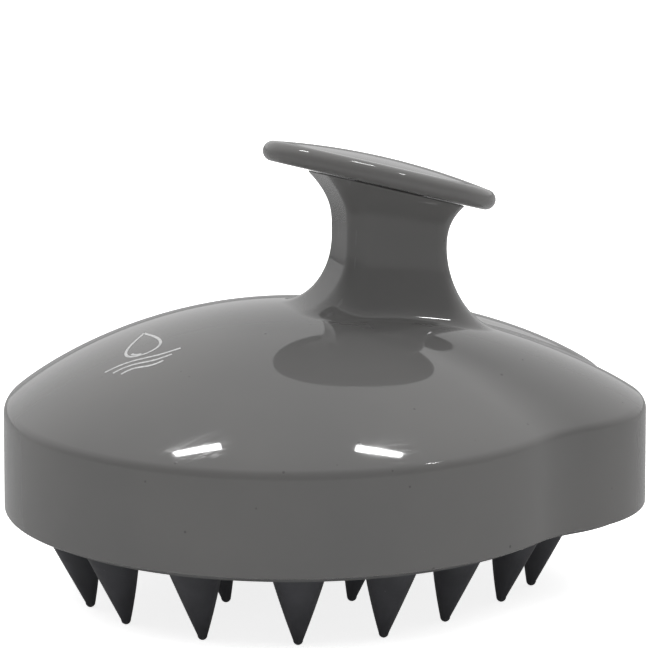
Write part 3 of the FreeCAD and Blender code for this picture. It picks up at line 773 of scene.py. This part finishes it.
class Paint:
    """One node material: a Principled surface fed by small procedural textures."""

    def __init__(self, name):
        self.material = bpy.data.materials.new(name)
        self.material.use_nodes = True
        self.tree = self.material.node_tree
        self.surface = self.tree.nodes["Principled BSDF"]
        place = self.node("ShaderNodeTexCoord").outputs["Object"]
        self.place = self.scaled(place, (1 / MM, 1 / MM, 1 / MM))

    def node(self, kind, **settings):
        node = self.tree.nodes.new(kind)
        for name, value in settings.items():
            setattr(node, name, value)
        return node

    def feed(self, socket, value):
        if isinstance(value, bpy.types.NodeSocket):
            self.tree.links.new(value, socket)
        else:
            socket.default_value = value

    def scaled(self, vector, scale, turn=(0.0, 0.0, 0.0)):
        mapping = self.node("ShaderNodeMapping")
        self.feed(mapping.inputs["Vector"], vector)
        mapping.inputs["Scale"].default_value = scale
        mapping.inputs["Rotation"].default_value = turn
        return mapping.outputs["Vector"]

    def noise(self, scale, detail=3.0, roughness=0.5, place=None):
        """Cloudy noise from 0 to 1, with that many features to a millimetre."""
        node = self.node("ShaderNodeTexNoise")
        self.feed(node.inputs["Vector"], place or self.place)
        node.inputs["Scale"].default_value = scale
        node.inputs["Detail"].default_value = detail
        node.inputs["Roughness"].default_value = roughness
        return node.outputs["Fac"]

    def cells(self, scale, place=None, feature="F1"):
        node = self.node("ShaderNodeTexVoronoi", feature=feature)
        self.feed(node.inputs["Vector"], place or self.place)
        node.inputs["Scale"].default_value = scale
        return node.outputs["Distance"]

    def spread(self, value, low, high, to_low=0.0, to_high=1.0):
        """Rescale a value and keep it inside its new limits."""
        node = self.node("ShaderNodeMapRange", clamp=True, interpolation_type="SMOOTHSTEP")
        for socket, setting in zip(node.inputs, (value, low, high, to_low, to_high)):
            self.feed(socket, setting)
        return node.outputs["Result"]

    def math(self, operation, one, other):
        node = self.node("ShaderNodeMath", operation=operation)
        self.feed(node.inputs[0], one)
        self.feed(node.inputs[1], other)
        return node.outputs["Value"]

    def blend(self, share, one, other):
        """Mix two colours by a share."""
        node = self.node("ShaderNodeMix", data_type="RGBA")
        self.feed(node.inputs["Factor"], share)
        self.feed(node.inputs["A"], one)
        self.feed(node.inputs["B"], other)
        return node.outputs["Result"]

    def edges(self, low, high):
        """1 on convex edges and 0 on flats."""
        return self.spread(self.node("ShaderNodeNewGeometry").outputs["Pointiness"], low, high)

    def bump(self, height, depth, under=None):
        """A bump of that depth in millimetres, laid over an earlier one."""
        node = self.node("ShaderNodeBump")
        node.inputs["Strength"].default_value = 1.0
        node.inputs["Distance"].default_value = depth * MM
        self.feed(node.inputs["Height"], height)
        if under is not None:
            self.feed(node.inputs["Normal"], under)
        return node.outputs["Normal"]

    def finish(self, **inputs):
        for name, value in inputs.items():
            self.feed(self.surface.inputs[name.replace("_", " ")], value)
        return self.material


FLOOR_IN_GLOSS = 0.2
FLOOR_GLOW = 0.35
FLOOR_GLOW_SEEN = 0.95


def grey(level, warm=0.0):
    """A near-neutral colour of that linear level, warmed or cooled by a share of it."""
    return (level * (1 + warm), level, level * (1 - warm), 1.0)


def scratch_lines(paint, angle, width):
    """Hairline scratches in one direction: 1 on a line and 0 off it."""
    place = paint.scaled(paint.place, (0.035, 1.1, 0.035), (0.0, 0.0, math.radians(angle)))
    lines = paint.cells(1.0, place, "DISTANCE_TO_EDGE")
    patches = paint.spread(paint.noise(0.06, 2.0), 0.5, 0.62)
    return paint.math("MULTIPLY", paint.spread(lines, 0.0, width, 1.0, 0.0), patches)


def shell_gloss():
    """High-gloss moulded plastic: soft flow marks, orange peel, hairlines, dust and handled edges."""
    paint = Paint("shell_gloss")
    flow = paint.spread(paint.noise(0.035, 3.0), 0.3, 0.7)
    colour = paint.blend(flow, grey(0.088, 0.012), grey(0.096, 0.02))
    dust = paint.spread(paint.cells(0.22), 0.035, 0.06, 1.0, 0.0)
    colour = paint.blend(paint.math("MULTIPLY", dust, 0.55), colour, grey(0.03))
    colour = paint.blend(paint.math("MULTIPLY", paint.edges(0.52, 0.6), 0.35), colour, grey(0.13))
    scratches = paint.math("ADD", scratch_lines(paint, 24, 0.012), scratch_lines(paint, -51, 0.01))
    smudge = paint.spread(paint.noise(0.09, 4.0, 0.6), 0.42, 0.72, 0.045, 0.105)
    roughness = paint.math("ADD", smudge, paint.math("MULTIPLY", scratches, 0.12))
    normal = paint.bump(paint.noise(0.42, 2.0), 0.0022)
    normal = paint.bump(paint.noise(5.0, 2.0), 0.0003, normal)
    normal = paint.bump(scratches, -0.0006, normal)
    normal = paint.bump(dust, 0.01, normal)
    return paint.finish(
        Base_Color=colour, Roughness=roughness, Normal=normal, IOR=1.5, Coat_Weight=0.25, Coat_Roughness=0.03
    )


def pad_silicone():
    """Satin silicone: fine mould grain, a dry bloom on its edges and a few specks of lint."""
    paint = Paint("pad_silicone_satin")
    cloud = paint.spread(paint.noise(0.2, 4.0), 0.3, 0.7)
    colour = paint.blend(cloud, (0.026, 0.026, 0.030, 1.0), (0.036, 0.036, 0.041, 1.0))
    lint = paint.spread(paint.cells(0.5), 0.03, 0.055, 1.0, 0.0)
    colour = paint.blend(paint.math("MULTIPLY", lint, 0.4), colour, grey(0.14))
    colour = paint.blend(paint.math("MULTIPLY", paint.edges(0.52, 0.62), 0.4), colour, grey(0.07))
    roughness = paint.spread(paint.noise(0.8, 3.0), 0.3, 0.7, 0.42, 0.58)
    normal = paint.bump(paint.noise(6.0, 3.0), 0.004)
    normal = paint.bump(paint.noise(0.7, 2.0), 0.012, normal)
    return paint.finish(
        Base_Color=colour, Roughness=roughness, Normal=normal, Specular_IOR_Level=0.42, Sheen_Weight=0.06
    )


def moulded(name, level, roughness, grain, depth):
    """Eroded-texture moulded plastic, with paler worn edges."""
    paint = Paint(name)
    cloud = paint.spread(paint.noise(0.12, 4.0), 0.3, 0.7)
    colour = paint.blend(cloud, grey(level * 0.92), grey(level * 1.08))
    colour = paint.blend(paint.math("MULTIPLY", paint.edges(0.52, 0.6), 0.5), colour, grey(level * 2))
    rough = paint.spread(paint.noise(1.5, 3.0), 0.3, 0.7, roughness - 0.06, roughness + 0.08)
    normal = paint.bump(paint.noise(grain, 4.0, 0.65), depth)
    return paint.finish(Base_Color=colour, Roughness=rough, Normal=normal)


def screw_zinc():
    """Zinc-plated steel: turned rings and mottled plating."""
    paint = Paint("screw_zinc")
    cloud = paint.spread(paint.noise(1.2, 4.0), 0.3, 0.7)
    colour = paint.blend(cloud, (0.50, 0.50, 0.49, 1.0), (0.66, 0.66, 0.67, 1.0))
    roughness = paint.spread(paint.noise(2.5, 4.0), 0.3, 0.7, 0.24, 0.42)
    rings = paint.noise(1.0, 3.0, 0.6, paint.scaled(paint.place, (0.4, 0.4, 9.0)))
    normal = paint.bump(rings, 0.01)
    return paint.finish(Base_Color=colour, Metallic=1.0, Roughness=roughness, Normal=normal)


def mark_ink():
    """Pale pad-printed ink, thin in places and slightly rough."""
    paint = Paint("mark_ink")
    thin = paint.spread(paint.noise(2.2, 4.0, 0.65), 0.4, 0.62)
    colour = paint.blend(thin, grey(0.34), grey(0.46))
    roughness = paint.spread(paint.noise(5.0, 2.0), 0.3, 0.7, 0.3, 0.45)
    return paint.finish(Base_Color=colour, Roughness=roughness, Normal=paint.bump(paint.noise(7.0), 0.002))


def floor_paper():
    """Pale seamless paper: faintly luminous, dim in the object's gloss, and clear when seen from below."""
    paint = Paint("floor_paper")
    cloud = paint.spread(paint.noise(0.01, 3.0), 0.3, 0.7)
    colour = paint.blend(cloud, grey(0.86), grey(0.88))
    rays = paint.node("ShaderNodeLightPath")
    colour = paint.blend(rays.outputs["Is Glossy Ray"], colour, grey(FLOOR_IN_GLOSS))
    seen = rays.outputs["Is Camera Ray"]
    glow = paint.spread(seen, 0.0, 1.0, FLOOR_GLOW, FLOOR_GLOW_SEEN)
    behind = paint.node("ShaderNodeNewGeometry").outputs["Backfacing"]
    solid = paint.math("SUBTRACT", 1.0, paint.math("MULTIPLY", seen, behind))
    return paint.finish(
        Base_Color=colour,
        Emission_Color=colour,
        Emission_Strength=glow,
        Alpha=solid,
        Roughness=0.9,
        Normal=paint.bump(paint.noise(1.5), 0.01),
    )


def dress_cad_node(node, material):
    """Give a carried-over CAD node its material, in every slot it has."""
    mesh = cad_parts[node].data
    if not mesh.materials:
        mesh.materials.append(material)
    for index in range(len(mesh.materials)):
        mesh.materials[index] = material


# ---------------------------------------------------------------- floor, light and camera

VIEW_AZIMUTH = math.radians(-20.0)
VIEW_ELEVATION = math.radians(13.5)
VIEW_DISTANCE = 1.2
VIEW_TARGET = Vector((4.42, -1.61, 39.3)) * MM
VIEW_WIDTH = 0.0932
SENSOR = 36.0
LAMP_DISTANCE = 1.2
WALL_ELEVATION = math.radians(40.0)
WORLD_DIM = 0.16
WORLD_BRIGHT = 0.78
WORLD_RAMP_START = -0.2
WORLD_RAMP_END = 0.85
FLOOR_HALF = 4.0
HIGHLIGHT_BOX = (0.2, 0.06)


def direction(azimuth, elevation):
    """Unit vector from the object towards a viewer; azimuth 0 is on the -Y side, growing towards +X."""
    flat = math.cos(elevation)
    return Vector((math.sin(azimuth) * flat, -math.cos(azimuth) * flat, math.sin(elevation)))


def make_camera():
    data = bpy.data.cameras.new("view")
    data.sensor_width = SENSOR
    data.lens = SENSOR * VIEW_DISTANCE / VIEW_WIDTH
    data.clip_start = 0.01
    data.clip_end = 100.0
    camera = bpy.data.objects.new("view", data)
    towards = direction(VIEW_AZIMUTH, VIEW_ELEVATION)
    camera.location = VIEW_TARGET + towards * VIEW_DISTANCE
    camera.rotation_euler = towards.to_track_quat("Z", "Y").to_euler()
    bpy.context.scene.collection.objects.link(camera)
    bpy.context.scene.camera = camera


def make_floor(material):
    mesh = bpy.data.meshes.new("floor")
    corners = [(x * FLOOR_HALF, y * FLOOR_HALF, 0.0) for x, y in ((-1, -1), (1, -1), (1, 1), (-1, 1))]
    mesh.from_pydata(corners, [], [(0, 1, 2, 3)])
    mesh.materials.append(material)
    floor = bpy.data.objects.new("floor", mesh)
    bpy.context.scene.collection.objects.link(floor)


def make_softbox(name, towards, size, power, mirrored=True):
    """A soft area light, long side level with the picture; one that isn't mirrored leaves no highlight."""
    data = bpy.data.lights.new(name, "AREA")
    data.shape = "RECTANGLE"
    data.size, data.size_y = size
    data.energy = power
    lamp = bpy.data.objects.new(name, data)
    back = Vector(towards).normalized()
    right = Vector((math.cos(VIEW_AZIMUTH), math.sin(VIEW_AZIMUTH), 0.0))
    right = (right - back * right.dot(back)).normalized()
    turn = Matrix((right, back.cross(right), back)).transposed()
    lamp.matrix_world = Matrix.Translation(VIEW_TARGET + back * LAMP_DISTANCE) @ turn.to_4x4()
    lamp.visible_glossy = mirrored
    lamp.visible_camera = False
    bpy.context.scene.collection.objects.link(lamp)


def make_world():
    """A pale studio: bright above and behind the object, dimmer on the camera's side."""
    world = bpy.data.worlds.new("studio")
    world.use_nodes = True
    bpy.context.scene.world = world
    tree = world.node_tree
    place = tree.nodes.new("ShaderNodeTexCoord")
    dot = tree.nodes.new("ShaderNodeVectorMath")
    dot.operation = "DOT_PRODUCT"
    dot.inputs[1].default_value = direction(VIEW_AZIMUTH + math.pi, WALL_ELEVATION)
    tree.links.new(place.outputs["Generated"], dot.inputs[0])
    ramp = tree.nodes.new("ShaderNodeMapRange")
    ramp.interpolation_type = "SMOOTHSTEP"
    ramp.inputs["From Min"].default_value = WORLD_RAMP_START
    ramp.inputs["From Max"].default_value = WORLD_RAMP_END
    ramp.inputs["To Min"].default_value = WORLD_DIM
    ramp.inputs["To Max"].default_value = WORLD_BRIGHT
    tree.links.new(dot.outputs["Value"], ramp.inputs["Value"])
    background = tree.nodes["Background"]
    tree.links.new(ramp.outputs["Result"], background.inputs["Strength"])
    background.inputs["Color"].default_value = (1.0, 1.0, 1.0, 1.0)


def make_lights():
    make_softbox("overhead", (0.0, -0.02, 1.0), (2.4, 2.4), 32.0, mirrored=False)
    make_softbox("left_box", (-0.245, 0.252, 0.936), HIGHLIGHT_BOX, 1.6)
    make_softbox("right_box", (0.319, 0.026, 0.947), HIGHLIGHT_BOX, 1.6)
    make_softbox("small_box", (0.534, -0.312, 0.796), (0.06, 0.05), 0.4)


def build():
    gloss = shell_gloss()
    make_shell(gloss)
    make_palm_plate(gloss)
    make_bristle_pad(pad_silicone())
    make_mark(mark_ink())
    zinc = screw_zinc()
    dress_cad_node("palm_screw", zinc)
    dress_cad_node("clamp_screws", zinc)
    dress_cad_node("clamp_ring", moulded("ring_satin", 0.05, 0.34, 5.0, 0.004))
    dress_cad_node("carrier_plate", moulded("carrier_matte", 0.06, 0.5, 4.0, 0.01))
    make_floor(floor_paper())
    make_world()
    make_lights()
    make_camera()
    bpy.context.scene.view_settings.view_transform = "Standard"


build()
